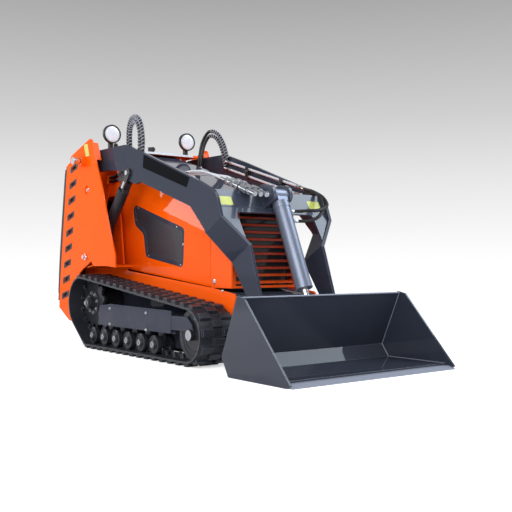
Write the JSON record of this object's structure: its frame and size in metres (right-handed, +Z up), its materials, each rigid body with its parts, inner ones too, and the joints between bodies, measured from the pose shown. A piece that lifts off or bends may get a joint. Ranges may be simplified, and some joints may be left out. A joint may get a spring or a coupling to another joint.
{
  "type": "compact track loader",
  "caption": "Walk-behind compact loader on rubber tracks with slotted rear towers, lift arms, hydraulic cylinders, louvred engine housing and a front bucket.",
  "frame": {"origin": "on the ground, at the middle of the overall length and width", "axes": "+X forwards to the bucket, +Y to the machine's left, +Z up"},
  "size_m": [2.7099, 1.1, 1.4875],
  "materials": {
    "orange_paint": "gloss powder coat",
    "slate_paint": "satin powder coat",
    "black_paint": "satin",
    "bare_steel": "worn",
    "pin_chrome": "polished",
    "track_rubber": "matt with a slight sheen",
    "hose_rubber": "matt",
    "black_plastic": "moulded",
    "engine_iron": "dark paint"
  },
  "bodies": {
    "machine": {"chassis_tub": "slate_paint", "side_plate_right": "orange_paint", "side_plate_left": "orange_paint", "tower_right": "orange_paint", "tower_left": "orange_paint", "rear_panel": "black_paint", "control_console": "orange_paint", "control_levers": "black_plastic", "work_lamps": "black_plastic", "pivot_pins": "pin_chrome", "hood_top": "slate_paint", "hood_sides": "orange_paint", "side_panel_right": "orange_paint", "side_panel_left": "orange_paint", "mesh_window_right": "slate_paint", "mesh_window_left": "slate_paint", "front_grille": "orange_paint", "engine_block": "engine_iron", "track_frame_right": "slate_paint", "track_frame_left": "slate_paint", "track_right": "track_rubber", "track_left": "track_rubber", "sprocket_right": "black_paint", "sprocket_left": "black_paint", "idler_right": "black_paint", "idler_left": "black_paint", "rollers_right": "black_paint", "rollers_left": "black_paint", "hose_loop_right": "hose_rubber", "hose_loop_left": "hose_rubber"},
    "lift_arms": {"arm_right": "slate_paint", "arm_left": "slate_paint", "arm_crossmember": "slate_paint", "arm_tubes": "bare_steel", "quick_couplers": "bare_steel", "tilt_hoses": "hose_rubber"},
    "bucket": {"bucket_shell": "slate_paint", "cutting_edge": "bare_steel", "coupler_plate": "slate_paint"},
    "tilt_cylinder": {"tilt_barrel": "slate_paint"},
    "tilt_piston": {"tilt_rod": "pin_chrome"},
    "lift_cylinder_right": {"lift_barrel_right": "black_paint"},
    "lift_cylinder_left": {"lift_barrel_left": "black_paint"},
    "lift_piston_right": {"lift_rod_right": "pin_chrome"},
    "lift_piston_left": {"lift_rod_left": "pin_chrome"}
  },
  "joints": [
    {"name": "lift", "type": "hinge", "parent": "machine", "child": "lift_arms", "pos_m": [-0.918, 0, 1.231], "axis": [0, -1, 0], "range_deg": [0, 58], "deforming": ["hose_loop_right", "hose_loop_left"]},
    {"name": "bucket_tilt", "type": "hinge", "parent": "lift_arms", "child": "bucket", "pos_m": [0.78, 0, 0.165], "axis": [0, 1, 0], "range_deg": [-20, 100]},
    {"name": "lift_cylinder_swing_right", "type": "hinge", "parent": "machine", "child": "lift_cylinder_right", "pos_m": [-0.89, -0.38, 0.593], "axis": [0, -1, 0], "range_deg": [0, 23.99]},
    {"name": "lift_rod_slide_right", "type": "slide", "parent": "lift_cylinder_right", "child": "lift_piston_right", "axis": [0.6744, 0, 0.7384], "range_m": [0, 0.3566]},
    {"name": "lift_cylinder_swing_left", "type": "hinge", "parent": "machine", "child": "lift_cylinder_left", "pos_m": [-0.89, 0.38, 0.593], "axis": [0, -1, 0], "range_deg": [0, 23.99]},
    {"name": "lift_rod_slide_left", "type": "slide", "parent": "lift_cylinder_left", "child": "lift_piston_left", "axis": [0.6744, 0, 0.7384], "range_m": [0, 0.3566]},
    {"name": "tilt_cylinder_swing", "type": "hinge", "parent": "lift_arms", "child": "tilt_cylinder", "pos_m": [0.583, 0, 0.921], "axis": [0, 1, 0], "range_deg": [-0.5, 1.2]},
    {"name": "tilt_rod_slide", "type": "slide", "parent": "tilt_cylinder", "child": "tilt_piston", "axis": [0.3912, 0, -0.9203], "range_m": [-0.047, 0.231]}
  ],
  "couplings": [
    {"joint": "lift_cylinder_swing_right", "follows": "lift", "ratio": 0.40851},
    {"joint": "lift_rod_slide_right", "follows": "lift", "m_per_rad": 0.34933},
    {"joint": "lift_cylinder_swing_left", "follows": "lift", "ratio": 0.40851},
    {"joint": "lift_rod_slide_left", "follows": "lift", "m_per_rad": 0.34933},
    {"joint": "tilt_cylinder_swing", "follows": "bucket_tilt", "ratio": 0.01},
    {"joint": "tilt_rod_slide", "follows": "bucket_tilt", "m_per_rad": 0.131}
  ]
}
